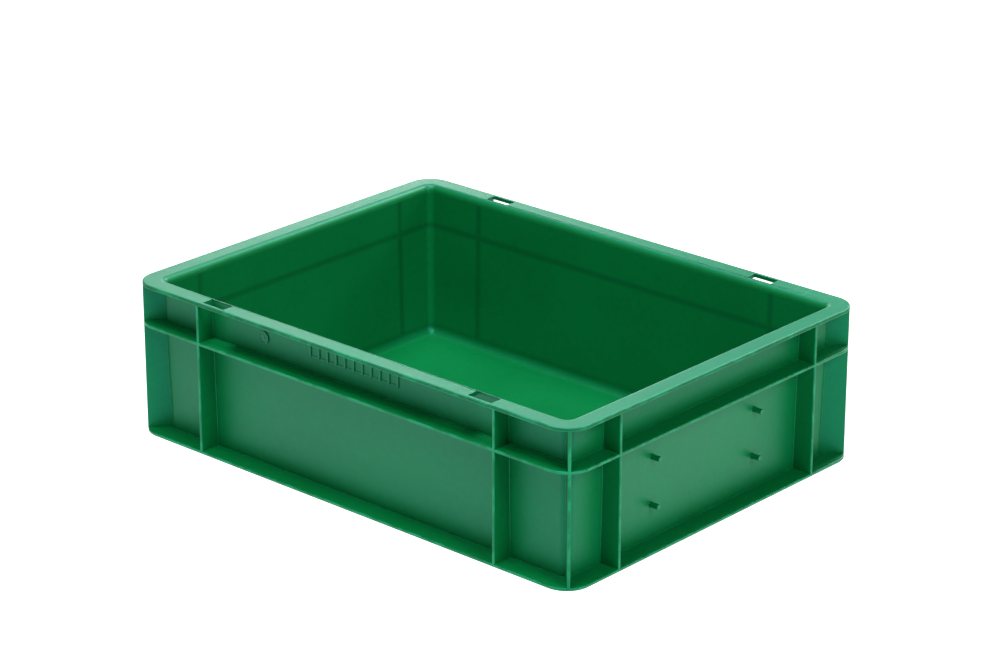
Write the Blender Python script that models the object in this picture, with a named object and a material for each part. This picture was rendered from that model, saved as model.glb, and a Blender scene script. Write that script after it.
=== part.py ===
"""Stacking crate with a 400 x 300 mm footprint and a height of 120 mm.

The real crate is one injection moulding: a thin tub with a rim, a middle band, a base flange and
upright ribs round the outside. Here every member of the moulding is its own closed solid, and
neighbouring members keep a hairline joint between them. Units are metres, +Z is up, X runs along
the long sides, and the origin is on the ground under the middle of the crate.
"""

import math

import bmesh
import bpy
from mathutils import Matrix, Vector

# Overall size
LENGTH = 0.400
WIDTH = 0.300
HEIGHT = 0.120
CORNER_RADIUS = 0.018

# Tub
WALL = 0.0022
RECESS = 0.0135                 # from the rim's outer face in to the wall, at the top
DRAFT = math.radians(1.0)       # the walls lean in towards the floor
TUB_CORNER_RADIUS = 0.005       # inside, between two walls
FLOOR_THICKNESS = 0.0022
FLOOR_FILLET = 0.006            # inside, between a wall and the floor
FLOOR_CORNER_RADIUS = 0.002

# Rim
RIM_THICKNESS = 0.0024
RIM_EDGE_ROUND = 0.0008
RIM_INNER_ROUND = 0.0045
RIM_SKIRT = 0.0006              # straight wall below the inner rounding that belongs to the rim

# Band, base flange and ribs
RIB = 0.0022
BAND_DROP = 0.0295              # rim top to band top
NEST_DEPTH = 0.008              # ground to the flange that rests on the crate below
LONG_SIDE_RIB_INSET = 0.0647    # from the short side's outer face to the middle of the rib
SHORT_SIDE_RIB_INSET = 0.0490   # from the long side's outer face to the middle of the rib
CORNER_LEAD = 0.002             # straight length at each end of a corner member

# Foot bars under the floor
FOOT_HEIGHT = 0.0016
FOOT_WIDTH = 0.004
FOOT_EDGE = 0.001               # from the floor panel's edge in to the bar

# Slots through the rim of the long sides
SLOT_LENGTH = 0.020
SLOT_WIDTH = 0.009
SLOT_TO_RIB = 0.0027
SLOT_TO_EDGE = 0.0027

# Label pegs on the right side
PEG_DIAMETER = 0.004
PEG_LENGTH = 0.007
PEG_PITCH_ALONG = 0.106
PEG_PITCH_UP = 0.0338
PEG_DROP = 0.0197               # band underside to the middle of the upper pegs

# Raised marks on the front side, between the rim and the band
RELIEF = 0.0005
DIAL_DIAMETER = 0.009
DIAL_ALONG = -0.084
DIAL_DROP = 0.0160              # rim top to the middle of the dial
TICK_COUNT = 11
TICK_PITCH = 0.0080
TICK_WIDTH = 0.0020
TICK_HEIGHT = 0.0100
TICK_DROP = 0.0130              # rim top to the middle of the ticks
SCALE_BAR = 0.0015              # height of the bar that joins the ticks at the foot

GAP = 0.0003                    # hairline joint between neighbouring members
ARC_STEPS = 8                   # facets round a quarter turn in plan
FILLET_STEPS = 5                # facets round a quarter turn in section

PLASTIC_COLOUR = (0.004, 0.300, 0.105, 1.0)
PLASTIC_ROUGHNESS = 0.35

SIDES = ("front", "right", "back", "left")

FLOOR_BOTTOM = FOOT_HEIGHT
FLOOR_TOP = FLOOR_BOTTOM + FLOOR_THICKNESS
RIM_UNDERSIDE = HEIGHT - RIM_THICKNESS
RIM_SEAT = HEIGHT - RIM_INNER_ROUND - RIM_SKIRT
BAND_TOP = HEIGHT - BAND_DROP
BAND_BOTTOM = BAND_TOP - RIB
BASE_BOTTOM = NEST_DEPTH
BASE_TOP = BASE_BOTTOM + RIB
FILLET_TOP = FLOOR_TOP + FLOOR_FILLET   # here the walls begin to turn in to the floor


# ---------------------------------------------------------------- places on the crate

def half_run(side):
    """Half the length of a side, measured along it."""
    return (LENGTH if side % 2 == 0 else WIDTH) / 2


def half_reach(side):
    """Distance from the middle of the crate to a side's outer face."""
    return (WIDTH if side % 2 == 0 else LENGTH) / 2


def spot(side, along, inset, z):
    """Point at a distance along a side and inwards from its outer face."""
    local = Vector((along, inset - half_reach(side), z))
    return Matrix.Rotation(side * math.pi / 2, 3, "Z") @ local


def tub_point(z, offset, drop):
    """Inset, height and plan radius on a face of the tub that lies an offset in from its outer face.

    The draft moves the face in on the way down, and over the last drop it turns in to the floor.
    """
    inset = RECESS + offset + (HEIGHT - max(z, FILLET_TOP)) * math.tan(DRAFT)
    radius = TUB_CORNER_RADIUS + WALL - offset
    turn = 1 - math.sqrt(1 - min(max((FILLET_TOP - z) / drop, 0.0), 1.0) ** 2)
    return (inset + (FLOOR_FILLET + WALL - offset) * turn, z,
            radius + (FLOOR_CORNER_RADIUS - radius) * turn)


def outer_point(z):
    return tub_point(z, 0.0, FLOOR_FILLET + FLOOR_THICKNESS)


def inner_point(z):
    return tub_point(z, WALL, FLOOR_FILLET)


def corner_spot(side, inset, radius, angle, z):
    """Point on the plan arc between a side and the next one; angle runs from 0 to a quarter turn."""
    centre = (half_run(side) - inset - radius, inset + radius)
    return spot(side, centre[0] + radius * math.sin(angle),
                centre[1] - radius * math.cos(angle), z)


def rib_inset(side):
    """How far the upright ribs of a side stand from the crate's corners."""
    return LONG_SIDE_RIB_INSET if side % 2 == 0 else SHORT_SIDE_RIB_INSET


# ---------------------------------------------------------------- profiles: inset, height, plan radius

def rim_profile():
    flat_end = RECESS + WALL - RIM_INNER_ROUND
    flat_radius = TUB_CORNER_RADIUS + RIM_INNER_ROUND

    def flange_radius(inset):
        return CORNER_RADIUS + (flat_radius - CORNER_RADIUS) * inset / flat_end

    points = [(0.0, RIM_UNDERSIDE, CORNER_RADIUS)]
    for step in range(4):
        angle = math.pi / 2 * step / 3
        inset = RIM_EDGE_ROUND * (1 - math.cos(angle))
        height = HEIGHT - RIM_EDGE_ROUND * (1 - math.sin(angle))
        points.append((inset, height, flange_radius(inset)))
    for step in range(FILLET_STEPS + 1):
        angle = math.pi / 2 * step / FILLET_STEPS
        shift = RIM_INNER_ROUND * math.sin(angle)
        height = HEIGHT - RIM_INNER_ROUND * (1 - math.cos(angle))
        points.append((flat_end + shift, height, flat_radius - shift))
    points += [inner_point(RIM_SEAT), outer_point(RIM_SEAT), outer_point(RIM_UNDERSIDE)]
    return points


def wall_profile():
    """The wall and the rounded edge that carries it over to the floor."""
    top = RIM_SEAT - GAP
    turns = [math.sin(math.pi / 2 * step / FILLET_STEPS) for step in range(FILLET_STEPS + 1)]
    down = [outer_point(FILLET_TOP - (FLOOR_FILLET + FLOOR_THICKNESS) * turn) for turn in turns]
    up = [inner_point(FILLET_TOP - FLOOR_FILLET * turn) for turn in reversed(turns)]
    return [inner_point(top), outer_point(top), *down, *up]


def edge_on_wall(low, high):
    """The edge of a member that meets the tub's outer face, a hairline off it."""
    heights = sorted({low, min(max(low, FILLET_TOP), high), high})
    return [(inset - GAP, z, radius + GAP) for inset, z, radius in map(outer_point, heights)]


def flange_profile(low, high):
    """A flat flange from the outline to the tub's wall."""
    return [(0.0, low, CORNER_RADIUS), *edge_on_wall(low, high), (0.0, high, CORNER_RADIUS)]


# ---------------------------------------------------------------- solids

def plastic(node):
    material = bpy.data.materials.new(node + "_plastic")
    material.use_nodes = True
    shader = material.node_tree.nodes["Principled BSDF"]
    shader.inputs["Base Color"].default_value = PLASTIC_COLOUR
    shader.inputs["Roughness"].default_value = PLASTIC_ROUGHNESS
    shader.inputs["Metallic"].default_value = 0.0
    material.diffuse_color = PLASTIC_COLOUR
    return material


def add_object(node, mesh_builder):
    mesh = bpy.data.meshes.new(node)
    bmesh.ops.recalc_face_normals(mesh_builder, faces=mesh_builder.faces)
    mesh_builder.to_mesh(mesh)
    mesh_builder.free()
    mesh.materials.append(plastic(node))
    thing = bpy.data.objects.new(node, mesh)
    bpy.context.scene.collection.objects.link(thing)
    return thing


def loft(sections):
    """Skins a row of matching closed sections and caps both ends."""
    builder = bmesh.new()
    rings = [[builder.verts.new(point) for point in section] for section in sections]
    count = len(rings[0])
    for near, far in zip(rings, rings[1:]):
        for i in range(count):
            j = (i + 1) % count
            builder.faces.new((near[i], near[j], far[j], far[i]))
    builder.faces.new(rings[0])
    builder.faces.new(reversed(rings[-1]))
    return builder


def straight(side, profile, start, end):
    """A member that runs along one side between two places on it."""
    return loft([[spot(side, along, inset, z) for inset, z, _ in profile] for along in (start, end)])


def rounded(side, profile, before, after):
    """A member that turns the corner after a side, from a distance before it to one after it."""
    following = (side + 1) % 4
    sections = [[spot(side, half_run(side) - before, inset, z) for inset, z, _ in profile]]
    for step in range(ARC_STEPS + 1):
        angle = math.pi / 2 * step / ARC_STEPS
        sections.append([corner_spot(side, inset, radius, angle, z) for inset, z, radius in profile])
    sections.append([spot(following, after - half_run(following), inset, z) for inset, z, _ in profile])
    return loft(sections)


def corner_name(stem, side):
    pair = sorted((SIDES[side], SIDES[(side + 1) % 4]), key=("front", "back", "left", "right").index)
    return "_".join((stem, *pair))


def end_name(stem, side, hand):
    """Name of a member near one end of a side: the side, then the neighbour it is nearer to."""
    return "_".join((stem, SIDES[side % 4], SIDES[(side + hand) % 4]))


def add_ring(stem, profile, lead):
    """Four straight members and the four corner members between them."""
    for side, name in enumerate(SIDES):
        reach = half_run(side) - lead - GAP
        add_object(f"{stem}_{name}", straight(side, profile, -reach, reach))
        add_object(corner_name(stem + "_corner", side), rounded(side, profile, lead, lead))


def block(low, high):
    """A plain box between two corners."""
    builder = bmesh.new()
    size = [b - a for a, b in zip(low, high)]
    middle = [(a + b) / 2 for a, b in zip(low, high)]
    bmesh.ops.create_cube(builder, size=1.0)
    bmesh.ops.scale(builder, vec=size, verts=builder.verts)
    bmesh.ops.translate(builder, vec=middle, verts=builder.verts)
    return builder


def cut_slots(rail, side):
    """Cuts the two slots of a long side, each just inside its rib."""
    rib = half_run(side) - rib_inset(side)
    outer_end = rib - RIB / 2 - SLOT_TO_RIB
    for number, hand in enumerate((-1, 1)):
        ends = sorted((hand * outer_end, hand * (outer_end - SLOT_LENGTH)))
        corners = [spot(side, ends[0], SLOT_TO_EDGE, RIM_UNDERSIDE - RIM_THICKNESS),
                   spot(side, ends[1], SLOT_TO_EDGE + SLOT_WIDTH, HEIGHT + RIM_THICKNESS)]
        low = [min(values) for values in zip(*corners)]
        high = [max(values) for values in zip(*corners)]
        cutter = add_object(f"slot_cutter_{SIDES[side]}_{number}", block(low, high))
        cutter.hide_render = True
        cutter.display_type = "WIRE"
        cut = rail.modifiers.new(f"slot_{number}", "BOOLEAN")
        cut.operation = "DIFFERENCE"
        cut.solver = "EXACT"
        cut.object = cutter


def keep_one_side(builder, point, normal):
    """Cuts a closed solid by a plane, keeps what lies along the normal and closes the cut."""
    geometry = [*builder.verts, *builder.edges, *builder.faces]
    cut = bmesh.ops.bisect_plane(builder, geom=geometry, dist=1e-6, plane_co=point,
                                 plane_no=normal, clear_inner=True)
    edges = [item for item in cut["geom_cut"] if isinstance(item, bmesh.types.BMEdge)]
    bmesh.ops.holes_fill(builder, edges=edges)


# ---------------------------------------------------------------- members

def add_floor():
    """The flat panel inside the fillet that runs round the foot of the walls."""
    inset = inner_point(FLOOR_TOP)[0] + GAP
    sections = []
    for z in (FLOOR_BOTTOM, FLOOR_TOP):
        outline = []
        for side in range(4):
            for step in range(4):
                angle = math.pi / 2 * step / 3
                outline.append(corner_spot(side, inset, FLOOR_CORNER_RADIUS, angle, z))
        sections.append(outline)
    add_object("floor_panel", loft(sections))
    return inset


def add_foot(floor_inset):
    """Four bars, mitred at the corners, that keep the floor panel off the ground."""
    near = floor_inset + FOOT_EDGE
    far = near + FOOT_WIDTH
    for side, name in enumerate(SIDES):
        sections = []
        for z in (0.0, FLOOR_BOTTOM - GAP):
            outline = []
            for inset, hand in ((near, -1), (near, 1), (far, 1), (far, -1)):
                outline.append(spot(side, hand * (half_run(side) - inset - GAP), inset, z))
            sections.append(outline)
        add_object("foot_bar_" + name, loft(sections))


def add_upright_ribs():
    """Two ribs on each side, from the base flange up to the rim."""
    profile = flange_profile(BASE_TOP + GAP, RIM_UNDERSIDE - GAP)
    for side in range(4):
        for hand in (-1, 1):
            middle = hand * (half_run(side) - rib_inset(side))
            rib = straight(side, profile, middle - RIB / 2, middle + RIB / 2)
            add_object(end_name("rib", side, hand), rib)


def diagonal(side):
    """Square corner of the outline after a side, and the level direction in from it."""
    apex = spot(side, half_run(side), 0.0, 0.0)
    inwards = spot(side, half_run(side) - 1.0, 1.0, 0.0) - apex
    return apex, inwards.normalized()


def diagonal_reach(inset, radius):
    """Distance along the diagonal from the square corner in to a plan arc."""
    return (inset + radius) * math.sqrt(2) - radius


def add_corner_ribs():
    """One rib on the diagonal of each corner."""
    profile = flange_profile(BASE_TOP + GAP, RIM_UNDERSIDE - GAP)
    for side in range(4):
        apex, inwards = diagonal(side)
        across = Vector((0, 0, 1)).cross(inwards) * RIB / 2
        sections = []
        for shift in (-across, across):
            sections.append([apex + shift + inwards * diagonal_reach(inset, radius) + Vector((0, 0, z))
                             for inset, z, radius in profile])
        add_object(corner_name("corner_rib", side), loft(sections))


def add_band():
    """The middle band: one length between the ribs of each side, and two at each corner."""
    profile = flange_profile(BAND_BOTTOM, BAND_TOP)
    for side, name in enumerate(SIDES):
        clear = RIB / 2 + GAP
        reach = half_run(side) - rib_inset(side) - clear
        add_object("mid_band_" + name, straight(side, profile, -reach, reach))
        apex, inwards = diagonal(side)
        across = Vector((0, 0, 1)).cross(inwards)
        for hand, node in ((1, end_name("mid_band", side, 1)), (-1, end_name("mid_band", side + 1, -1))):
            half = rounded(side, profile, rib_inset(side) - clear, rib_inset(side + 1) - clear)
            keep_one_side(half, apex + hand * across * clear, hand * across)
            add_object(node, half)


def raised_outline(side, outline, height):
    """Raises an outline off a side's wall."""
    sections = []
    for off in (GAP, GAP + height):
        sections.append([spot(side, along, outer_point(z)[0] - off, z) for along, z in outline])
    return loft(sections)


def circle(along, z, diameter, count):
    points = []
    for step in range(count):
        angle = 2 * math.pi * step / count
        points.append((along + math.cos(angle) * diameter / 2, z + math.sin(angle) * diameter / 2))
    return points


def add_label_pegs():
    """Four pegs on the right side that hold a label card."""
    side = SIDES.index("right")
    upper = BAND_BOTTOM - PEG_DROP
    for hand, end in ((-1, "front"), (1, "back")):
        for level, z in (("upper", upper), ("lower", upper - PEG_PITCH_UP)):
            outline = circle(hand * PEG_PITCH_ALONG / 2, z, PEG_DIAMETER, 14)
            add_object(f"label_peg_{level}_{end}", raised_outline(side, outline, PEG_LENGTH))


def add_marks():
    """A plain dial and a plain comb of tick marks on the front side."""
    side = SIDES.index("front")
    dial = circle(DIAL_ALONG, HEIGHT - DIAL_DROP, DIAL_DIAMETER, 24)
    add_object("date_dial", raised_outline(side, dial, RELIEF))
    foot = HEIGHT - TICK_DROP - TICK_HEIGHT / 2
    comb = []
    for number in range(TICK_COUNT):
        middle = ((TICK_COUNT - 1) / 2 - number) * TICK_PITCH
        right, left = middle + TICK_WIDTH / 2, middle - TICK_WIDTH / 2
        comb += [(right, foot + SCALE_BAR), (right, foot + TICK_HEIGHT),
                 (left, foot + TICK_HEIGHT), (left, foot + SCALE_BAR)]
    comb[0] = (comb[0][0], foot)
    comb[-1] = (comb[-1][0], foot)
    add_object("tick_scale", raised_outline(side, comb, RELIEF))


def main():
    for old in list(bpy.data.objects):
        bpy.data.objects.remove(old)
    floor_inset = add_floor()
    add_foot(floor_inset)
    rings = {"wall": wall_profile(),
             "rim": rim_profile(),
             "base_flange": flange_profile(BASE_BOTTOM, BASE_TOP)}
    deepest = max(inset + radius for profile in rings.values() for inset, _, radius in profile)
    for stem, profile in rings.items():
        add_ring(stem, profile, deepest + CORNER_LEAD)
    for side in (0, 2):
        cut_slots(bpy.data.objects["rim_" + SIDES[side]], side)
    add_band()
    add_upright_ribs()
    add_corner_ribs()
    add_label_pegs()
    add_marks()


main()
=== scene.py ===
# %% [markdown]
# # A stacking crate in green polypropylene
# The crate is a shallow box of 400 x 300 x 120 mm for storing and carrying small goods. The real one is
# a single injection moulding: a thin tub, a broad rim, a band half way up, a flange near the ground,
# and upright ribs that tie them together. Each of these becomes one piece here.
# The measured frame is loaded first. It fixes where everything is, and every piece is built around it.

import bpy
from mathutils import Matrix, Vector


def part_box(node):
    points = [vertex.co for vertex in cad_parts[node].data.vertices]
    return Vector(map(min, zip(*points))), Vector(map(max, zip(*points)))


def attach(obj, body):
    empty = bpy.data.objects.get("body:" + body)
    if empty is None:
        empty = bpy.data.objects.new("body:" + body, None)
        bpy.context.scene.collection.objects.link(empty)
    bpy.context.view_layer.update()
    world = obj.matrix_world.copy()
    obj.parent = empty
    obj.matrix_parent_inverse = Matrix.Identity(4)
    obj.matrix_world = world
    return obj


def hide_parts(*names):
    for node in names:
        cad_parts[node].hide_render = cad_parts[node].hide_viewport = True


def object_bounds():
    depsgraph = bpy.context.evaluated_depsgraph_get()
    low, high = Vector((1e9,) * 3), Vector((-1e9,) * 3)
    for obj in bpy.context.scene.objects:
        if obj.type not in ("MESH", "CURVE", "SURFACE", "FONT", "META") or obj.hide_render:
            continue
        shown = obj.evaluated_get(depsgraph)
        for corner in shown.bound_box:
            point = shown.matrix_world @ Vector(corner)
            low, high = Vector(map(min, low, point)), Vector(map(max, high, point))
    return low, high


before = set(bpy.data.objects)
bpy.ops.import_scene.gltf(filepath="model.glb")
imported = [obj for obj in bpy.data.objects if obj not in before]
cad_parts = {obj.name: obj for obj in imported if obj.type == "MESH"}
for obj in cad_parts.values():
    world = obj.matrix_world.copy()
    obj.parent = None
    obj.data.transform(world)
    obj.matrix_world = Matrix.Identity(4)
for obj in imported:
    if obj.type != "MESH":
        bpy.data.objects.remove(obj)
CAD_BOX = [list(corner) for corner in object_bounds()]

import math

import bmesh
import bpy
from mathutils import Matrix, Vector

NODES = sorted(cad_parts)
print("frame members:", len(NODES))
print("box of the frame in mm:", [[round(value * 1000, 1) for value in corner] for corner in CAD_BOX])

# %% [markdown]
# ## Reading the levels off the frame
# Every height and depth that the frame knows is read from its members instead of being typed again.
# If a member moves in the frame, the pieces below follow it. Sizes that no member shows, such as how
# round an edge is, are named where they are first used.

# %% Levels and depths
HALF_LENGTH = CAD_BOX[1][0]
HALF_WIDTH = CAD_BOX[1][1]
HEIGHT = CAD_BOX[1][2]
CORNER_RADIUS = 0.018
RIM_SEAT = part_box("rim_front")[0].z            # where the rim's moulding hands over to the wall
FLOOR_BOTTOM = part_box("floor_panel")[0].z
FLOOR_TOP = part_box("floor_panel")[1].z
BAND_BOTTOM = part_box("mid_band_front")[0].z
BAND_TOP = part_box("mid_band_front")[1].z
BASE_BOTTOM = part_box("base_flange_front")[0].z
BASE_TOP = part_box("base_flange_front")[1].z
RIB_ON_LONG_SIDE = sum(corner.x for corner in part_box("rib_front_right")) / 2
RIB_ON_SHORT_SIDE = sum(corner.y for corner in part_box("rib_right_back")) / 2
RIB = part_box("rib_front_right")[1].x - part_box("rib_front_right")[0].x
print(f"rim seat {RIM_SEAT * 1000:.1f}, band {BAND_BOTTOM * 1000:.1f} to {BAND_TOP * 1000:.1f} mm")
print(f"ribs {RIB_ON_LONG_SIDE * 1000:.1f} and {RIB_ON_SHORT_SIDE * 1000:.1f} mm from the middle")

# %% [markdown]
# ## The faces of the tub
# A moulded wall is never quite upright: it leans by a degree, so that the part slides off the steel.
# It turns in to the floor over a quarter round, and the corner radius shrinks on the way.
# Both faces of the wall follow the same rule, so one function gives the depth of either at any height.

# %% Where the tub's faces are
RECESS = 0.0135          # from the outline in to the wall, at the top
WALL = 0.0022
DRAFT = math.radians(1.0)
TUB_CORNER_RADIUS = 0.005
FLOOR_FILLET = 0.006
FLOOR_CORNER_RADIUS = 0.002
FILLET_TOP = FLOOR_TOP + FLOOR_FILLET


def tub_point(height, offset, drop):
    """Depth behind the outline, height and corner radius of a tub face, an offset in from the outer one."""
    depth = RECESS + offset + (HEIGHT - max(height, FILLET_TOP)) * math.tan(DRAFT)
    radius = TUB_CORNER_RADIUS + WALL - offset
    turn = 1 - math.sqrt(1 - min(max((FILLET_TOP - height) / drop, 0.0), 1.0) ** 2)
    reach = FLOOR_FILLET + WALL - offset
    return depth + reach * turn, height, radius + (FLOOR_CORNER_RADIUS - radius) * turn


def outer_face(height):
    return tub_point(height, 0.0, FILLET_TOP - FLOOR_BOTTOM)


def inner_face(height):
    return tub_point(height, WALL, FLOOR_FILLET)


print("wall leans in by", round((inner_face(FILLET_TOP)[0] - inner_face(RIM_SEAT)[0]) * 1000, 2), "mm")

# %% [markdown]
# ## A loft from rounded rings
# Every band of this crate goes once round it and turns four rounded corners, and the corner radius
# differs from ring to ring. A bevelled box can't do that. So each ring starts as a plane at its height,
# is scaled to its size, has its four corners bevelled round and loses its face. Then each ring is
# bridged to the one before, the way one lofts by hand. Each ring's corners carry its number, because an
# operator acts on what is selected, and the number is what finds a ring again.
# Pairs at one level are bridged first. Between those, the bridge can only tell which way to go round
# while neither ring has faces yet.

# %% Helpers for lofting
RING_STEPS = 10          # facets round one corner
SMOOTH_BELOW = math.radians(32)


def begin(name):
    """Starts an empty piece and goes into edit mode."""
    bpy.ops.object.select_all(action="DESELECT")
    bpy.ops.object.add(type="MESH", enter_editmode=True)
    piece = bpy.context.object
    piece.name = name
    piece.data.name = name
    return piece


def choose(piece, wanted, kind="verts"):
    """Selects the corners, edges or faces of a piece that pass a test, and nothing else."""
    modes = {"verts": "VERT", "edges": "EDGE", "faces": "FACE"}
    bpy.ops.mesh.select_mode(type=modes[kind])
    bpy.ops.mesh.select_all(action="DESELECT")
    shape = bmesh.from_edit_mesh(piece.data)
    for item in getattr(shape, kind):
        if wanted(item):
            item.select_set(True)
    shape.select_flush_mode()
    bmesh.update_edit_mesh(piece.data)


def add_ring(piece, number, depth, height, radius):
    """Adds one rounded ring at a depth behind the outline and gives its corners a number."""
    bpy.ops.mesh.select_all(action="DESELECT")
    bpy.ops.mesh.primitive_plane_add(size=1.0, location=(0, 0, height))
    size = (2 * (HALF_LENGTH - depth), 2 * (HALF_WIDTH - depth), 1)
    bpy.ops.transform.resize(value=size, center_override=(0, 0, height))
    bpy.ops.mesh.bevel(offset=radius, segments=RING_STEPS, affect="VERTICES", clamp_overlap=False)
    bpy.ops.mesh.delete(type="ONLY_FACE")
    shape = bmesh.from_edit_mesh(piece.data)
    numbers = shape.verts.layers.int.get("ring") or shape.verts.layers.int.new("ring")
    for vert in shape.verts:
        if vert[numbers] == 0:
            vert[numbers] = number


def choose_rings(piece, *wanted):
    numbers = bmesh.from_edit_mesh(piece.data).verts.layers.int["ring"]
    choose(piece, lambda vert: vert[numbers] in wanted)


def finish_shape(piece):
    """Turns all faces outwards, smooths the roundings and keeps the flat faces flat."""
    bpy.ops.mesh.select_all(action="SELECT")
    bpy.ops.mesh.remove_doubles(threshold=1e-6)
    bpy.ops.mesh.normals_make_consistent(inside=False)
    bpy.ops.object.mode_set(mode="OBJECT")
    if "ring" in piece.data.attributes:
        piece.data.attributes.remove(piece.data.attributes["ring"])
    bpy.ops.object.shade_smooth_by_angle(angle=SMOOTH_BELOW)


def settle_normals(piece):
    """Lets the large flat faces decide the shading at their edges."""
    bpy.ops.object.select_all(action="DESELECT")
    piece.select_set(True)
    bpy.context.view_layer.objects.active = piece
    weighted = piece.modifiers.new("flat_faces_lead", "WEIGHTED_NORMAL")
    weighted.keep_sharp = True
    weighted.weight = 100
    bpy.ops.object.modifier_apply(modifier=weighted.name)
    print(f"{piece.name}: {len(piece.data.polygons)} faces")


def loft(name, rings, closed):
    """Skins a row of rounded rings. A closed row is a hoop; an open one gets a face at each end."""
    piece = begin(name)
    for number, ring in enumerate(rings, start=1):
        add_ring(piece, number, *ring)
    count = len(rings)
    pairs = [(number, number % count + 1) for number in range(1, count + 1 if closed else count)]
    pairs.sort(key=lambda pair: abs(rings[pair[0] - 1][1] - rings[pair[1] - 1][1]))
    for pair in pairs:
        choose_rings(piece, *pair)
        bpy.ops.mesh.bridge_edge_loops()
    if not closed:
        for number in (1, count):
            choose_rings(piece, number)
            bpy.ops.mesh.edge_face_add()
    finish_shape(piece)
    return piece


def arc(count):
    """Sine and 1 - cosine at even steps of a quarter turn."""
    turns = [math.pi / 2 * step / count for step in range(count + 1)]
    return [(math.sin(turn), 1 - math.cos(turn)) for turn in turns]


# %% [markdown]
# ## The tub
# The tub is the thin box that holds the goods. Its rings run from the edge of the inside floor up the
# fillet and the inner face, over the top, down the outer face and round under the floor. The first
# and the last ring get a face, and these are the two sides of the floor.
# The wall has one thickness all over, because thick plastic cools slowly and sinks.

# %% Loft the tub
FILLET_STEPS = 8
WALL_LEVELS = (0.030, 0.060, 0.090, RIM_SEAT)


def tub_rings():
    inner = [inner_face(FILLET_TOP - FLOOR_FILLET * rise) for rise, _ in reversed(arc(FILLET_STEPS))]
    outer = [outer_face(FILLET_TOP - (FILLET_TOP - FLOOR_BOTTOM) * rise) for rise, _ in arc(FILLET_STEPS)]
    rings = inner + [inner_face(height) for height in WALL_LEVELS]
    rings += [outer_face(height) for height in reversed(WALL_LEVELS)] + outer
    return rings


tub = loft("tub_shell", tub_rings(), closed=False)
settle_normals(tub)

# %% [markdown]
# ## The rim
# The rim is a broad flat flange that makes the crate stiff and gives the hands something to hold.
# Its outer edge shows how it was made: the steel parts there, and leaves a fine groove with a rounded
# lip above it and a smaller one below. On the inside it rolls down to the wall in a large round,
# so the corner radius shrinks from the flange to the tub.

# %% Loft the rim
RIM_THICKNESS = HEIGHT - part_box("rib_front_right")[1].z
RIM_EDGE_ROUND = 0.0008
RIM_INNER_ROUND = 0.0045
RIM_INNER_STEPS = 10
ROOT_FILLET = 0.0005     # where a flange or a rib grows out of the wall
EDGE_STEPS = 4           # facets round a small edge or root fillet
UNDERSIDE = HEIGHT - RIM_THICKNESS
GROOVE_DEPTH = 0.00032
OUTER_EDGE = (           # depth and height of the rim's outer edge, from the upper lip down
    (0.0, HEIGHT - 0.00105), (GROOVE_DEPTH, HEIGHT - 0.0012), (GROOVE_DEPTH, HEIGHT - 0.0014),
    (0.00006, HEIGHT - 0.00172), (0.0, HEIGHT - 0.0019), (0.0, UNDERSIDE + 0.0003),
    (0.0001, UNDERSIDE + 0.0001), (0.0003, UNDERSIDE))


def flange_radius(depth, inner_depth, inner_radius):
    """Corner radius on a flat flange, from the outline's to the one at its inner edge."""
    return CORNER_RADIUS + (inner_radius - CORNER_RADIUS) * depth / inner_depth


def rim_rings():
    flat_end = RECESS + WALL - RIM_INNER_ROUND
    flat_radius = TUB_CORNER_RADIUS + RIM_INNER_ROUND
    rings = [inner_face(RIM_SEAT)]
    for across, drop in reversed(arc(RIM_INNER_STEPS)):
        rings.append((flat_end + RIM_INNER_ROUND * across, HEIGHT - RIM_INNER_ROUND * drop,
                      flat_radius - RIM_INNER_ROUND * across))
    for across, drop in arc(EDGE_STEPS):
        depth = RIM_EDGE_ROUND * (1 - across)
        rings.append((depth, HEIGHT - RIM_EDGE_ROUND * drop, flange_radius(depth, flat_end, flat_radius)))
    rings += [(depth, height, CORNER_RADIUS) for depth, height in OUTER_EDGE]
    wall_depth, _, wall_radius = outer_face(UNDERSIDE)
    for across, drop in arc(EDGE_STEPS):
        depth = wall_depth - ROOT_FILLET * (1 - across)
        rings.append((depth, UNDERSIDE - ROOT_FILLET * drop, wall_radius + ROOT_FILLET * (1 - across)))
    rings.append(outer_face(RIM_SEAT))
    return rings


rim = loft("rim_frame", rim_rings(), closed=True)
print(f"rim: {len(rim_rings())} rings, {RIM_THICKNESS * 1000:.1f} mm thick at its edge")

# %% [markdown]
# ## Four slots in the rim
# Each long side has two slots for label clips, just inside the upright ribs. They are punched by a
# Boolean: one cutter holds four plain blocks, it takes them away in one go, and its edges at the rim's
# top are then broken by a very small bevel, as moulded edges are.

# %% Cut the slots
SLOT_LENGTH = 0.020
SLOT_WIDTH = 0.009
SLOT_TO_RIB = 0.0027
SLOT_TO_EDGE = 0.0027
SLOT_EDGE_BREAK = 0.00022
CUTTER_HEIGHT = 0.012
TOUCH = 1e-5             # how near counts as lying on a line

SLOT_OUTER = RIB_ON_LONG_SIDE - RIB / 2 - SLOT_TO_RIB
SLOT_MIDDLE = (SLOT_OUTER - SLOT_LENGTH / 2, HALF_WIDTH - SLOT_TO_EDGE - SLOT_WIDTH / 2)


def at_slot_mouth(edge):
    """Whether an edge lies on a slot's outline at the top of the rim."""
    for vert in edge.verts:
        along = abs(abs(vert.co.x) - SLOT_MIDDLE[0])
        across = abs(abs(vert.co.y) - SLOT_MIDDLE[1])
        inside = along < SLOT_LENGTH / 2 + TOUCH and across < SLOT_WIDTH / 2 + TOUCH
        on_outline = along > SLOT_LENGTH / 2 - TOUCH or across > SLOT_WIDTH / 2 - TOUCH
        if not (inside and on_outline and vert.co.z > HEIGHT - RIM_EDGE_ROUND / 2):
            return False
    return True


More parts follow.
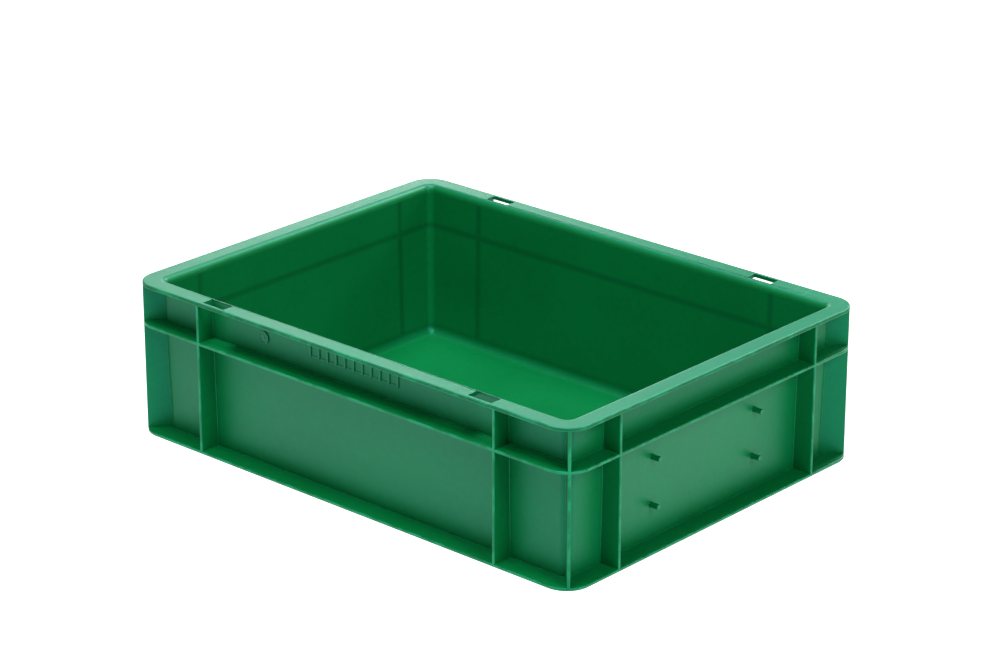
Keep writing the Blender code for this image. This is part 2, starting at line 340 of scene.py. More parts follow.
cutter = begin("slot_cutter")
for right in (-1, 1):
    for back in (-1, 1):
        place = (right * SLOT_MIDDLE[0], back * SLOT_MIDDLE[1], HEIGHT)
        bpy.ops.mesh.select_all(action="DESELECT")
        bpy.ops.mesh.primitive_cube_add(size=1.0, location=place)
        bpy.ops.transform.resize(value=(SLOT_LENGTH, SLOT_WIDTH, CUTTER_HEIGHT), center_override=place)
bpy.ops.object.mode_set(mode="OBJECT")

bpy.ops.object.select_all(action="DESELECT")
rim.select_set(True)
bpy.context.view_layer.objects.active = rim
cut = rim.modifiers.new("slots", "BOOLEAN")
cut.operation = "DIFFERENCE"
cut.solver = "EXACT"
cut.object = cutter
bpy.ops.object.modifier_apply(modifier=cut.name)
bpy.data.objects.remove(cutter)

bpy.ops.object.mode_set(mode="EDIT")
choose(rim, at_slot_mouth, "edges")
bpy.ops.mesh.bevel(offset=SLOT_EDGE_BREAK, segments=2, affect="EDGES", clamp_overlap=True)
finish_shape(rim)
settle_normals(rim)

# %% [markdown]
# ## The band and the base flange
# Two thin hoops run round the outside. The one half way up stiffens the wall. The one near the ground
# rests on the rim of the crate below when crates are stacked, while the tub drops inside it.
# Both are the same shape at different heights: a flat flange with a rounded lip, which swells a little
# where it meets the wall. That small fillet is what catches the light as a thin line.

# %% Loft the two hoops
LIP_ROUND = 0.0006
LIP_SETBACK = 0.00006    # keeps the hoops just behind the ribs' noses
BAND_BURIED = 0.0010     # how far a hoop's root reaches into the wall
BASE_BURIED = 0.0012


def hoop_rings(bottom, top, buried):
    """A flat hoop from the outline to the wall, with its root buried in the wall."""
    rings = []
    wall_depth, _, wall_radius = outer_face(top)
    for across, drop in arc(EDGE_STEPS):
        rings.append((wall_depth - ROOT_FILLET * drop, top + ROOT_FILLET * (1 - across),
                      wall_radius + ROOT_FILLET * drop))
    for across, drop in arc(EDGE_STEPS):
        rings.append((LIP_SETBACK + LIP_ROUND * (1 - across), top - LIP_ROUND * drop, CORNER_RADIUS))
    for across, drop in reversed(arc(EDGE_STEPS)):
        rings.append((LIP_SETBACK + LIP_ROUND * (1 - across), bottom + LIP_ROUND * drop, CORNER_RADIUS))
    under_depth, _, under_radius = outer_face(bottom)
    rings.append((under_depth + buried, bottom, under_radius))
    rings.append((wall_depth + buried, top + ROOT_FILLET, wall_radius))
    return rings


band = loft("middle_band", hoop_rings(BAND_BOTTOM, BAND_TOP, BAND_BURIED), closed=True)
settle_normals(band)
base = loft("base_flange", hoop_rings(BASE_BOTTOM, BASE_TOP, BASE_BURIED), closed=True)
settle_normals(base)

# %% [markdown]
# ## Upright ribs
# Two ribs stand on each side, from the base flange up to the underside of the rim. A rib starts as a
# cube. Its foot is pulled in to follow the leaning wall, its two front edges are bevelled into a
# rounded nose, and its back face is extruded in small widening steps, which makes the fillet at its
# root. It is modelled once at the origin, with its nose on the Y axis, then copied round the crate.

# %% Model one rib
NOSE_ROUND = 0.0008
NOSE_STEPS = 5
ROOT_STEPS = 5
RIB_BURIED = 0.0008      # how far the widened root reaches into the wall
RIB_OVERLAP = 0.0003     # how far a rib runs into the flange below it and the rim above it
RIB_FOOT = BASE_TOP - RIB_OVERLAP
RIB_HEAD = UNDERSIDE + RIB_OVERLAP


def model_rib(name, nose, root_at_head, root_at_foot):
    """A rib whose nose and root lie at these depths on the Y axis."""
    piece = begin(name)
    length = root_at_head - ROOT_FILLET - nose
    centre = (0, nose + length / 2, (RIB_FOOT + RIB_HEAD) / 2)
    bpy.ops.mesh.primitive_cube_add(size=1.0, location=centre)
    bpy.ops.transform.resize(value=(RIB, length, RIB_HEAD - RIB_FOOT), center_override=centre)
    choose(piece, lambda vert: vert.co.y > centre[1] and vert.co.z < centre[2])
    bpy.ops.transform.translate(value=(0, root_at_foot - root_at_head, 0))
    choose(piece, lambda edge: all(vert.co.y < centre[1] for vert in edge.verts)
           and abs(edge.verts[0].co.x - edge.verts[1].co.x) < TOUCH, "edges")
    bpy.ops.mesh.bevel(offset=NOSE_ROUND, segments=NOSE_STEPS, affect="EDGES")
    choose(piece, lambda face: face.normal.y > 0.9, "faces")
    thickness, gone = RIB, 0.0
    for across, drop in arc(ROOT_STEPS)[1:]:
        wider = RIB + 2 * ROOT_FILLET * drop
        step = ROOT_FILLET * across - gone
        bpy.ops.mesh.extrude_region_move(TRANSFORM_OT_translate={"value": (0, step, 0)})
        bpy.ops.transform.resize(value=(wider / thickness, 1, 1), center_override=(0, 0, 0))
        thickness, gone = wider, gone + step
    bpy.ops.mesh.extrude_region_move(TRANSFORM_OT_translate={"value": (0, RIB_BURIED, 0)})
    finish_shape(piece)
    settle_normals(piece)
    return piece


def copy_to(source, name, place, turn):
    """Copies a piece that faces the Y axis to a place on the crate, with the turn and place in its mesh."""
    bpy.ops.object.select_all(action="DESELECT")
    source.select_set(True)
    bpy.context.view_layer.objects.active = source
    bpy.ops.object.duplicate()
    piece = bpy.context.object
    piece.name = name
    piece.data.name = name
    piece.location = place
    piece.rotation_euler = (0, 0, turn)
    bpy.ops.object.transform_apply(location=True, rotation=True, scale=True)
    return piece


SIDES = ("front", "right", "back", "left")
REACH = {"front": HALF_WIDTH, "right": HALF_LENGTH, "back": HALF_WIDTH, "left": HALF_LENGTH}
STAND = {"front": RIB_ON_LONG_SIDE, "right": RIB_ON_SHORT_SIDE,
         "back": RIB_ON_LONG_SIDE, "left": RIB_ON_SHORT_SIDE}


def side_place(side, along):
    """Point on a side's outer face, and the turn that brings the front side there."""
    turn = SIDES.index(side) * math.pi / 2
    local = Vector((along, -REACH[side], 0))
    return Matrix.Rotation(turn, 3, "Z") @ local, turn


rib_pattern = model_rib("rib_pattern", 0.0, outer_face(RIB_HEAD)[0], outer_face(RIB_FOOT)[0])
ribs = []
for number, side in enumerate(SIDES):
    for hand in (-1, 1):
        neighbour = SIDES[(number + hand) % 4]
        place, turn = side_place(side, hand * STAND[side])
        ribs.append(copy_to(rib_pattern, f"upright_rib_{side}_{neighbour}", place, turn))
print("upright ribs:", len(ribs))

# %% [markdown]
# ## Corner ribs
# A rib also stands on the diagonal of each corner, because that is where a dropped crate lands.
# It is the same rib with another length: the outline's arc is nearer to the tub's arc there.
# Its depths are measured from the square corner that the outline would have without its radius.

# %% Model a corner rib and copy it
def on_diagonal(depth, radius):
    """Distance along the diagonal from the square corner in to a rounded one."""
    return (depth + radius) * math.sqrt(2) - radius


def diagonal_root(height):
    depth, _, radius = outer_face(height)
    return on_diagonal(depth, radius)


corner_pattern = model_rib("corner_rib_pattern", on_diagonal(0.0, CORNER_RADIUS),
                           diagonal_root(RIB_HEAD), diagonal_root(RIB_FOOT))
corner_ribs = []
for x_side, x_name in ((-1, "left"), (1, "right")):
    for y_side, y_name in ((-1, "front"), (1, "back")):
        place = (x_side * HALF_LENGTH, y_side * HALF_WIDTH, 0)
        turn = math.atan2(-y_side, -x_side) - math.pi / 2
        corner_ribs.append(copy_to(corner_pattern, f"diagonal_rib_{y_name}_{x_name}", place, turn))
bpy.data.objects.remove(rib_pattern)
bpy.data.objects.remove(corner_pattern)
print("corner ribs:", len(corner_ribs))

# %% [markdown]
# ## The foot under the floor
# A low frame under the floor carries the crate, so that the large floor never scrapes on the ground.
# It is a hoop again, with its lower edges rounded. The stub in the middle of the floor is what is left
# of the channel that the hot plastic came in by; it sits in a dished ring, so that it stays clear.

# %% Loft the foot and model the gate stub
FOOT_NEAR = HALF_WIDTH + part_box("foot_bar_front")[0].y
FOOT_FAR = HALF_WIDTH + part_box("foot_bar_front")[1].y
FOOT_ROUND = 0.0005
FOOT_STEPS = 3
FOOT_OUTER_RADIUS = 0.003
FOOT_INNER_RADIUS = 0.0015
FOOT_HEAD = FLOOR_BOTTOM + 0.0004
GATE_RADIUS = 0.006
GATE_THICKNESS = 0.0006
GATE_OVERLAP = 0.0002    # how far it reaches into the floor
GATE_BORDER = 0.0008
DISH_DEPTH = 0.00025
DISH_WIDTH = 0.0035
STUB_HEIGHT = 0.0008
STUB_TAPER = 0.8


def foot_rings():
    rings = [(FOOT_NEAR, FOOT_HEAD, FOOT_OUTER_RADIUS), (FOOT_NEAR, FOOT_ROUND, FOOT_OUTER_RADIUS)]
    for across, drop in arc(FOOT_STEPS)[1:]:
        rings.append((FOOT_NEAR + FOOT_ROUND * drop, FOOT_ROUND * (1 - across), FOOT_OUTER_RADIUS))
    for across, drop in reversed(arc(FOOT_STEPS)):
        rings.append((FOOT_FAR - FOOT_ROUND * drop, FOOT_ROUND * (1 - across), FOOT_INNER_RADIUS))
    rings.append((FOOT_FAR, FOOT_HEAD, FOOT_INNER_RADIUS))
    return rings


foot = loft("foot_frame", foot_rings(), closed=True)
settle_normals(foot)

gate = begin("gate_stub")
bpy.ops.mesh.primitive_cylinder_add(vertices=32, radius=GATE_RADIUS, depth=GATE_THICKNESS,
                                    location=(0, 0, FLOOR_BOTTOM + GATE_OVERLAP - GATE_THICKNESS / 2))
choose(gate, lambda face: face.normal.z < -0.9, "faces")
bpy.ops.mesh.inset(thickness=GATE_BORDER)
bpy.ops.mesh.extrude_region_move(TRANSFORM_OT_translate={"value": (0, 0, DISH_DEPTH)})
bpy.ops.mesh.inset(thickness=DISH_WIDTH)
bpy.ops.mesh.extrude_region_move(TRANSFORM_OT_translate={"value": (0, 0, -STUB_HEIGHT)})
bpy.ops.transform.resize(value=(STUB_TAPER, STUB_TAPER, 1), center_override=(0, 0, 0))
finish_shape(gate)
settle_normals(gate)

# %% [markdown]
# ## Label pegs
# Four pegs on one short side hold a card with the crate's contents. Each is a short round pin with a
# little draft, a broken edge at its tip and a widened root. One is modelled on the Y axis and copied.

# %% Model one peg and copy it
PEG_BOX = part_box("label_peg_upper_back")
PEG_RADIUS = (PEG_BOX[1].z - PEG_BOX[0].z) / 2
PEG_LENGTH = PEG_BOX[1].x - PEG_BOX[0].x
PEG_TIP_SHARE = 0.94     # the tip's thickness as a share of the root's
PEG_ROOT_SHARE = 1.25    # the widened root's, likewise
PEG_EDGE_BREAK = 0.0004
PEG_FLARE = 0.0003
PEG_BURIED = 0.0010

peg_pattern = begin("peg_pattern")
bpy.ops.mesh.primitive_cylinder_add(vertices=28, radius=PEG_RADIUS, depth=PEG_LENGTH,
                                    location=(0, -PEG_LENGTH / 2, 0), rotation=(math.pi / 2, 0, 0))
choose(peg_pattern, lambda vert: vert.co.y < -PEG_LENGTH / 2)
bpy.ops.transform.resize(value=(PEG_TIP_SHARE, 1, PEG_TIP_SHARE), center_override=(0, 0, 0))
choose(peg_pattern, lambda edge: all(vert.co.y < -PEG_LENGTH / 2 for vert in edge.verts), "edges")
bpy.ops.mesh.bevel(offset=PEG_EDGE_BREAK, segments=3, affect="EDGES")
choose(peg_pattern, lambda face: face.normal.y > 0.9, "faces")
bpy.ops.mesh.extrude_region_move(TRANSFORM_OT_translate={"value": (0, PEG_FLARE, 0)})
bpy.ops.transform.resize(value=(PEG_ROOT_SHARE, 1, PEG_ROOT_SHARE), center_override=(0, 0, 0))
bpy.ops.mesh.extrude_region_move(TRANSFORM_OT_translate={"value": (0, PEG_BURIED, 0)})
finish_shape(peg_pattern)
settle_normals(peg_pattern)

pegs = []
for level in ("upper", "lower"):
    for end in ("front", "back"):
        low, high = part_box(f"label_peg_{level}_{end}")
        place = (low.x, (low.y + high.y) / 2, (low.z + high.z) / 2)
        pegs.append(copy_to(peg_pattern, f"card_peg_{level}_{end}", place, math.pi / 2))
bpy.data.objects.remove(peg_pattern)
print(f"pegs: {len(pegs)}, {PEG_RADIUS * 2000:.1f} mm thick and {PEG_LENGTH * 1000:.1f} mm long")

# %% [markdown]
# ## The dial on the front
# Moulders set a small dial into the steel to show when a part was made. Here it is a plain one: a
# raised border, a sunk face, a pointer and twelve pips with no characters. All of them are plates
# with a number of corners that fits: many for the border, six for a pip, three and four for the
# pointer's head and tail.

# %% Model the dial
DIAL_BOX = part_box("date_dial")
DIAL_RADIUS = (DIAL_BOX[1].x - DIAL_BOX[0].x) / 2
DIAL_MIDDLE = (DIAL_BOX[0] + DIAL_BOX[1]) / 2
DIAL_FRONT = DIAL_BOX[0].y
DIAL_DEEP = 0.0012       # from the border's front into the wall
DIAL_BORDER = 0.0007
DIAL_SUNK = 0.00035
MARK_DEPTHS = (0.0001, 0.0006)    # front and back of a pip or the pointer, behind the border
PIPS = 12
PIP_CIRCLE = 0.0030
PIP_RADIUS = 0.00035
POINTER = ((3, 0.0014, 0.0, 0.0006), (4, 0.0006, 0.0, -0.0008))    # corners, radius, across and up


def front_plate(corners, radius, across, up, depths):
    """Adds a plate at a place on the dial, between two depths behind the front of its border."""
    front, back = (DIAL_FRONT + depth for depth in depths)
    place = (DIAL_MIDDLE.x + across, (front + back) / 2, DIAL_MIDDLE.z + up)
    bpy.ops.mesh.select_all(action="DESELECT")
    bpy.ops.mesh.primitive_cylinder_add(vertices=corners, radius=radius, depth=back - front,
                                        location=place, rotation=(math.pi / 2, 0, 0))


dial = begin("moulding_dial")
front_plate(40, DIAL_RADIUS, 0.0, 0.0, (0.0, DIAL_DEEP))
choose(dial, lambda face: face.normal.y < -0.9, "faces")
bpy.ops.mesh.inset(thickness=DIAL_BORDER)
bpy.ops.mesh.extrude_region_move(TRANSFORM_OT_translate={"value": (0, DIAL_SUNK, 0)})
for pip in range(PIPS):
    angle = pip * 2 * math.pi / PIPS
    front_plate(6, PIP_RADIUS, PIP_CIRCLE * math.cos(angle), PIP_CIRCLE * math.sin(angle), MARK_DEPTHS)
for part in POINTER:
    front_plate(*part, MARK_DEPTHS)
finish_shape(dial)
settle_normals(dial)

# %% [markdown]
# ## The tick marks on the front
# A row of raised ticks stands on a lower bar. It starts as one block for one tick, which is duplicated
# at an even pitch. The bar is added under all of them, and then all the front edges are broken at once.

# %% Model the ticks
TICK_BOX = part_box("tick_scale")
TICK_COUNT = 11
TICK_WIDTH = 0.0020
TICK_PITCH = (TICK_BOX[1].x - TICK_BOX[0].x - TICK_WIDTH) / (TICK_COUNT - 1)
BAR_HEIGHT = 0.0015
BAR_SETBACK = 0.0001     # keeps the bar's ends inside the outer ticks
BAR_BACK_SHARE = 0.88    # how far back the bar's face lies, from the ticks' face to the wall
BAR_FRONT = TICK_BOX[0].y + BAR_BACK_SHARE * (TICK_BOX[1].y - TICK_BOX[0].y)
MARK_BURIED = 0.0006
MARK_BACK = TICK_BOX[1].y + MARK_BURIED
MARK_EDGE_BREAK = 0.0004


def add_mark(low, high, front):
    """Adds a block on the front wall between two corners, with its front face at a depth."""
    size = (high[0] - low[0], MARK_BACK - front, high[1] - low[1])
    place = ((low[0] + high[0]) / 2, (MARK_BACK + front) / 2, (low[1] + high[1]) / 2)
    bpy.ops.mesh.select_all(action="DESELECT")
    bpy.ops.mesh.primitive_cube_add(size=1.0, location=place)
    bpy.ops.transform.resize(value=size, center_override=place)


ticks = begin("tick_marks")
first = TICK_BOX[0].x
add_mark((first, TICK_BOX[0].z), (first + TICK_WIDTH, TICK_BOX[1].z), TICK_BOX[0].y)
for number in range(1, TICK_COUNT):
    bpy.ops.mesh.duplicate_move(TRANSFORM_OT_translate={"value": (TICK_PITCH, 0, 0)})
add_mark((first + BAR_SETBACK, TICK_BOX[0].z + BAR_SETBACK / 2),
         (TICK_BOX[1].x - BAR_SETBACK, TICK_BOX[0].z + BAR_HEIGHT), BAR_FRONT)
choose(ticks, lambda edge: all(vert.co.y < BAR_FRONT + TOUCH for vert in edge.verts), "edges")
bpy.ops.mesh.bevel(offset=MARK_EDGE_BREAK, segments=3, affect="EDGES")
finish_shape(ticks)
settle_normals(ticks)

# %% [markdown]
# ## Writing shader maths as Python
# A finish is worked out by many small sums, and a chain of Math nodes is hard to read. This class
# wraps a node's output, so that an ordinary expression adds the nodes. Colours don't go through Math
# nodes, which would turn them grey: they have their own mixing method.

# %% A class for shader expressions
class Number:
    """A number from a node. Arithmetic on it adds Math nodes to the same finish."""

    def __init__(self, finish, socket):
        self.finish = finish
        self.socket = socket

    def math(self, operation, *values):
        node = self.finish.node("ShaderNodeMath", {"operation": operation}, dict(enumerate(values)))
        return Number(self.finish, node.outputs[0])

    def __add__(self, other):
        return self.math("ADD", self, other)

    def __radd__(self, other):
        return self.math("ADD", other, self)

    def __sub__(self, other):
        return self.math("SUBTRACT", self, other)

    def __rsub__(self, other):
        return self.math("SUBTRACT", other, self)

    def __mul__(self, other):
        return self.math("MULTIPLY", self, other)

    def __abs__(self):
        return self.math("ABSOLUTE", self)

    def at_least(self, other):
        return self.math("MAXIMUM", self, other)

    def at_most(self, other):
        return self.math("MINIMUM", self, other)

    def root(self):
        return self.math("SQRT", self)

    def fade(self, low, high):
        """0 below low and 1 above high, with a soft step between."""
        node = self.finish.node("ShaderNodeMapRange", {"interpolation_type": "SMOOTHSTEP"},
                                {"Value": self, "From Min": low, "From Max": high})
        return Number(self.finish, node.outputs[0])


class Finish:
    """The nodes of a material or of the world, and the methods that add more."""

    def __init__(self, owner):
        owner.use_nodes = True
        self.tree = owner.node_tree
        self.tree.nodes.clear()
        coordinates = self.node("ShaderNodeTexCoord", {}, {})
        self.place = coordinates.outputs["Generated" if isinstance(owner, bpy.types.World) else "Object"]
        parts = self.node("ShaderNodeSeparateXYZ", {}, {"Vector": self.place})
        self.x, self.y, self.z = (Number(self, socket) for socket in parts.outputs)

    def node(self, kind, settings, values):
        """Adds a node, sets it up, then fills its sockets with values or links."""
        node = self.tree.nodes.new(kind)
        for key, value in settings.items():
            setattr(node, key, value)
        for key, value in values.items():
            if isinstance(value, Number):
                value = value.socket
            if isinstance(value, bpy.types.NodeSocket):
                self.tree.links.new(value, node.inputs[key])
            else:
                node.inputs[key].default_value = value
        return node

    def noise(self, scale, detail, stretch=(1, 1, 1)):
        """Cloudy noise from 0 to 1, with its middle near 0.5."""
        mapped = self.node("ShaderNodeMapping", {}, {"Vector": self.place, "Scale": stretch})
        node = self.node("ShaderNodeTexNoise", {"noise_dimensions": "3D"},
                         {"Vector": mapped.outputs[0], "Scale": scale, "Detail": detail})
        return Number(self, node.outputs["Fac"])

    def mix(self, amount, first, second):
        """Mixes two colours by a number."""
        node = self.node("ShaderNodeMix", {"data_type": "RGBA"}, {0: amount, 6: first, 7: second})
        return node.outputs[2]

    def bump(self, height, distance, strength, normal=None):
        """Tilts the surface by a height pattern, on top of an earlier tilt if there is one."""
        values = {"Height": height, "Distance": distance, "Strength": strength}
        if normal is not None:
            values["Normal"] = normal
        return self.node("ShaderNodeBump", {}, values).outputs[0]

    def behind_outline(self):
        """How far a point lies in from the crate's rounded outline, seen from above."""
        x = abs(self.x) - (HALF_LENGTH - CORNER_RADIUS)
        y = abs(self.y) - (HALF_WIDTH - CORNER_RADIUS)
        past_x = x.at_least(0.0)
        past_y = y.at_least(0.0)
        outside = (past_x * past_x + past_y * past_y).root()
        inside = x.at_least(y).at_most(0.0)
        return CORNER_RADIUS - outside - inside


print("steps for numbers:", [name for name in vars(Number) if not name.startswith("_")])
print("steps for finishes:", [name for name in vars(Finish) if not name.startswith("_")])


# %% [markdown]
# ## The plastic
# Coloured polypropylene is a waxy, slightly soft-looking plastic. Its colour comes from pigment that
# never spreads quite evenly, so there are faint clouds in it. The steel of the mould leaves a fine
# grain, and handling leaves scuffs: hair-thin scratches on the rim, and paler, rougher edges where
# crates rub on each other; the paler edges are also a painted highlight for the bright line on every
# outer edge and lip. Some colour is painted shade: dark lines inside the wall where the ribs and the
# band stand behind it, and a darker band along the round at the floor. All patterns use Object
# coordinates, so they run on from piece to piece.
# Pigment under a clear skin takes most of the red out of what the skin reflects, so the sheen is tinted,
# and less so on the rim. The rim's flat top is painted a little bluer, as a painted sheen for the pale
# light it reflects.

# %% Build the plastic finishes
GREEN = (0.0002, 0.131, 0.029, 1.0)
DEEP_GREEN = (0.0002, 0.114, 0.024, 1.0)
# a pale green for the scratches and for the outer edges, where it is partly a painted highlight
WORN_AND_HIGHLIGHT_GREEN = (0.012, 0.240, 0.100, 1.0)
# a dark green for painted shade: the shadow lines of the ribs and the band, and the shade along the round
# at the floor
PAINTED_SHADE_GREEN = (0.0002, 0.070, 0.016, 1.0)
SHEEN_GREEN = (0.0002, 0.123, 0.052, 1.0)
DEEP_SHEEN_GREEN = (0.0002, 0.107, 0.044, 1.0)
SINK_AND_SHADOW_REACH = 0.0036      # half the width of a sink mark and of the painted rib shadow over it
SINK_AND_SHADOW_CORE = 0.0004       # half the width of its darkest part
WALL_SHOWS = (0.0205, 0.0180)    # depths behind the outline over which the floor gives way to the wall
WEAR_AND_HIGHLIGHT_AMOUNT = 0.65
SCRATCH_AMOUNT = 0.25
RIB_SHADOW_AMOUNT = 0.70
FLOOR_ROUND_SHADE_AMOUNT = 0.45
GRAIN_DEPTH = 0.00010
SINK_DEPTH = 0.00012


def plastic(name, grain, roughness, scuffs, red_sheen=0.15, painted_sheen_top=False, sinks_and_painted_shade=False):
    """Green polypropylene with clouds, mould grain and scuffs, worn outer edges that also carry a painted
    highlight, painted shadow lines and floor shade, and a painted sheen on the rim's top.
    """
    material = bpy.data.materials.new(name)
    finish = Finish(material)
    clouds = finish.noise(14.0, 4.0)
    flecks = finish.noise(240.0, 3.0)
    pigment = (clouds * 0.6 + flecks * 0.4).fade(0.35, 0.65)
    colour = finish.mix(pigment, DEEP_GREEN, GREEN)
    # painted sheen: the rim's flat top is tinted bluer for the pale light it reflects
    if painted_sheen_top:
        flat_top = finish.z.fade(HEIGHT - 0.0020, HEIGHT - 0.0001)
        colour = finish.mix(flat_top, colour, finish.mix(pigment, DEEP_SHEEN_GREEN, SHEEN_GREEN))

    # pale outer edges: partly rub wear, partly a painted highlight for the bright line that every outer
    # edge, lip and rib nose catches
    edge_noise = finish.noise(90.0, 4.0)
    near_edge = 1.0 - finish.behind_outline().fade(0.0001, 0.0009)
    edge_wear_and_highlight = near_edge * edge_noise.fade(0.42, 0.62)
    colour = finish.mix(edge_wear_and_highlight * WEAR_AND_HIGHLIGHT_AMOUNT, colour, WORN_AND_HIGHLIGHT_GREEN)

    along = finish.noise(60.0, 2.0, stretch=(1.0, 26.0, 26.0)).fade(0.66, 0.74)
    across = finish.noise(60.0, 2.0, stretch=(26.0, 1.0, 26.0)).fade(0.66, 0.74)
    scratch = along.at_least(across) * finish.noise(22.0, 2.0).fade(0.45, 0.60) * scuffs
    colour = finish.mix(scratch * SCRATCH_AMOUNT, colour, WORN_AND_HIGHLIGHT_GREEN)

    if sinks_and_painted_shade:
        # painted shadow: each rib and the band behind the wall show inside as a dark line, darkest over the
        # middle and fading out on both sides; the same mask also sinks the surface a little
        on_long = 1.0 - abs(abs(finish.x) - RIB_ON_LONG_SIDE).fade(SINK_AND_SHADOW_CORE, SINK_AND_SHADOW_REACH)
        on_short = 1.0 - abs(abs(finish.y) - RIB_ON_SHORT_SIDE).fade(SINK_AND_SHADOW_CORE, SINK_AND_SHADOW_REACH)
        on_band = 1.0 - abs(finish.z - (BAND_TOP + BAND_BOTTOM) / 2).fade(SINK_AND_SHADOW_CORE, SINK_AND_SHADOW_REACH)
        long_wall = abs(finish.y).fade(*(HALF_WIDTH - depth for depth in WALL_SHOWS))
        short_wall = abs(finish.x).fade(*(HALF_LENGTH - depth for depth in WALL_SHOWS))
        uprights = (on_long * long_wall).at_least(on_short * short_wall)
        above_floor = finish.z.fade(FILLET_TOP, FILLET_TOP + 0.001)
        sink_and_rib_shadow = (uprights * above_floor).at_least(on_band)
        colour = finish.mix(sink_and_rib_shadow * RIB_SHADOW_AMOUNT, colour, PAINTED_SHADE_GREEN)
        # painted shade: a darker band along the round where the inner wall turns into the floor
        floor_round_shade = finish.z.fade(FLOOR_TOP + 0.0002, FLOOR_TOP + 0.0010)
        floor_round_shade = floor_round_shade * (1.0 - finish.z.fade(FILLET_TOP, FILLET_TOP + 0.004))
        colour = finish.mix(floor_round_shade * FLOOR_ROUND_SHADE_AMOUNT, colour, PAINTED_SHADE_GREEN)

    fine = finish.noise(1500.0, 2.0)
    soft = finish.noise(420.0, 2.0)
    rough = roughness + (clouds - 0.5) * 0.10 + (soft - 0.5) * 0.10 + scratch * 0.12 + edge_wear_and_highlight * 0.10
    texture = fine * 0.5 + soft * 0.5 - scratch * 0.6
    normal = finish.bump(texture, GRAIN_DEPTH, grain)
    if sinks_and_painted_shade:
        normal = finish.bump(1.0 - sink_and_rib_shadow, SINK_DEPTH, 0.5, normal)

    shader = finish.node("ShaderNodeBsdfPrincipled", {}, {
        "Base Color": colour, "Roughness": rough, "Normal": normal,
        "IOR": 1.49, "Specular Tint": (red_sheen, 1.0, 0.97, 1.0)})
    finish.node("ShaderNodeOutputMaterial", {}, {"Surface": shader.outputs[0]})
    return material


tub_plastic = plastic("green_tub_plastic", grain=0.25, roughness=0.45, scuffs=0.5, sinks_and_painted_shade=True)
rim_plastic = plastic("green_rim_plastic", grain=0.85, roughness=0.48, scuffs=1.0,
                      red_sheen=0.30, painted_sheen_top=True)
rib_plastic = plastic("green_rib_plastic", grain=0.30, roughness=0.42, scuffs=0.4)
mark_plastic = plastic("green_mark_plastic", grain=0.20, roughness=0.32, scuffs=0.0)
print("finishes:", [item.name for item in (tub_plastic, rim_plastic, rib_plastic, mark_plastic)])

# %% [markdown]
# ## Handing the pieces over
# Each piece gets its finish, rides on the crate's one body, and names the frame members that it stands
# for, which are then hidden. The whole crate is one moulding, so all pieces ride on that same body.

# %% Dress the pieces and tie them to the frame
def members(*starts):
    return [name for name in NODES if name.startswith(starts)]


def hand_over(piece, finish, *stands_for):
    piece.data.materials.clear()
    piece.data.materials.append(finish)
    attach(piece, "root")
    if stands_for:
        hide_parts(*stands_for)


hand_over(tub, tub_plastic, *members("floor_panel", "wall_"))
hand_over(rim, rim_plastic, *members("rim_"))
hand_over(band, rib_plastic, *members("mid_band_"))
hand_over(base, rib_plastic, *members("base_flange_"))
hand_over(foot, rib_plastic, *members("foot_bar_"))
hand_over(gate, mark_plastic)
hand_over(dial, mark_plastic, "date_dial")
hand_over(ticks, mark_plastic, "tick_scale")
for piece in ribs:
    hand_over(piece, rib_plastic, piece.name.replace("upright_rib_", "rib_"))
for piece in corner_ribs:
    hand_over(piece, rib_plastic, piece.name.replace("diagonal_rib_", "corner_rib_"))
for piece in pegs:
    hand_over(piece, mark_plastic, piece.name.replace("card_peg_", "label_peg_"))
print("pieces:", len([tub, rim, band, base, foot, gate, dial, ticks] + ribs + corner_ribs + pegs))

# %% [markdown]
# ## Floor and light
# The crate stands on a plain white floor that glows softly, like a light table, so it throws no dark
# shadow and shines back on to the walls. The air glows near the horizon and is dark overhead, so that
# the ledges stay darker than the walls. Six softboxes stand round the crate at one distance. The low
# ones behind it put the pale sheen on the rim, and none of them shines along the round at the floor.

# %% Set the floor, the lights and the world
FLOOR_GLOW = 1.74
FLOOR_SIZE = 60.0
FLOOR_CLEARANCE = 0.0002          # keeps the studio floor just under the crate's foot
WALLS_GLOW = 0.80
CEILING_GLOW = 0.05
SOFTBOX_DISTANCE = 2.0
SOFTBOX_SIZE = 0.6
SOFTBOXES = {            # direction round the crate and height in degrees, power in watts
    "overhead_softbox": (0, 80, 35),
    "high_back_softbox": (225, 75, 20),
    "back_softbox": (180, 38, 34),
    "low_left_softbox": (228, 20, 7.0),
    "right_softbox": (80, 38, 22),
    "front_softbox": (10, 58, 12),
}

bpy.ops.object.select_all(action="DESELECT")
bpy.ops.mesh.primitive_plane_add(size=FLOOR_SIZE, location=(0, 0, -FLOOR_CLEARANCE))
floor = bpy.context.object
floor.name = "studio_floor"
paper_material = bpy.data.materials.new("studio_paper")
paper = Finish(paper_material)
glow = paper.node("ShaderNodeEmission", {}, {"Color": (1, 1, 1, 1), "Strength": FLOOR_GLOW})
paper.node("ShaderNodeOutputMaterial", {}, {"Surface": glow.outputs[0]})
floor.data.materials.append(paper_material)

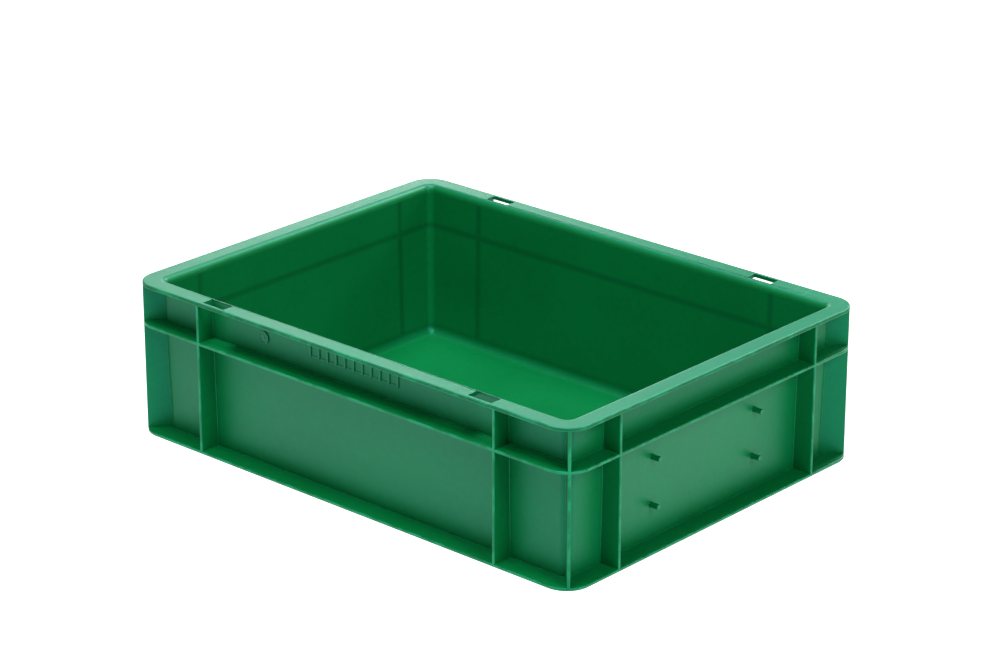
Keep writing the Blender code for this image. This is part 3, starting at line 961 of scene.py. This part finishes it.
scene = bpy.context.scene
world = bpy.data.worlds.new("studio_air")
scene.world = world
air = Finish(world)
fall = air.node("ShaderNodeMapRange", {"interpolation_type": "SMOOTHSTEP"}, {
    "Value": air.z, "From Min": 0.02, "From Max": 0.25, "To Min": WALLS_GLOW, "To Max": CEILING_GLOW})
glow = air.node("ShaderNodeBackground", {}, {"Color": (1, 1, 1, 1), "Strength": fall.outputs[0]})
air.node("ShaderNodeOutputWorld", {}, {"Surface": glow.outputs[0]})


def towards(azimuth, elevation):
    """Unit vector from the crate, with 0 degrees round it at the front and 90 at the right."""
    azimuth, elevation = math.radians(azimuth), math.radians(elevation)
    return Vector((math.sin(azimuth) * math.cos(elevation),
                   -math.cos(azimuth) * math.cos(elevation), math.sin(elevation)))


def add_softbox(name, azimuth, elevation, power):
    """Adds a large square light that faces the crate."""
    out = towards(azimuth, elevation)
    bpy.ops.object.light_add(type="AREA", location=SOFTBOX_DISTANCE * out)
    light = bpy.context.object
    light.name = name
    light.data.shape = "SQUARE"
    light.data.size = SOFTBOX_SIZE
    light.data.energy = power
    light.rotation_euler = (-out).to_track_quat("-Z", "Y").to_euler()


for name, settings in SOFTBOXES.items():
    add_softbox(name, *settings)
scene.view_settings.view_transform = "Standard"
print("softboxes and their watts:", {name: power for name, (_, _, power) in SOFTBOXES.items()})

# %% [markdown]
# ## The camera
# A long lens from a few steps away, a little above the crate, looks at the corner between a long and a
# short side. The long lens keeps the far rim almost as large as the near one.

# %% Place the camera
AIM = Vector((-0.0458, 0.0582, 0.0600))
DISTANCE = 2.4264
AZIMUTH = 41.939
ELEVATION = 21.520
ROLL = 0.046
SENSOR_WIDTH = 36.0
LENS = 123.19

back = towards(AZIMUTH, ELEVATION)
bpy.ops.object.camera_add(location=AIM + back * DISTANCE)
camera = bpy.context.object
camera.name = "studio_camera"
turned = back.to_track_quat("Z", "Y").to_matrix() @ Matrix.Rotation(math.radians(ROLL), 3, "Z")
camera.rotation_euler = turned.to_euler()
camera.data.sensor_width = SENSOR_WIDTH
camera.data.lens = LENS
camera.data.dof.use_dof = False
scene.camera = camera
print("camera at", [round(value, 3) for value in camera.location])
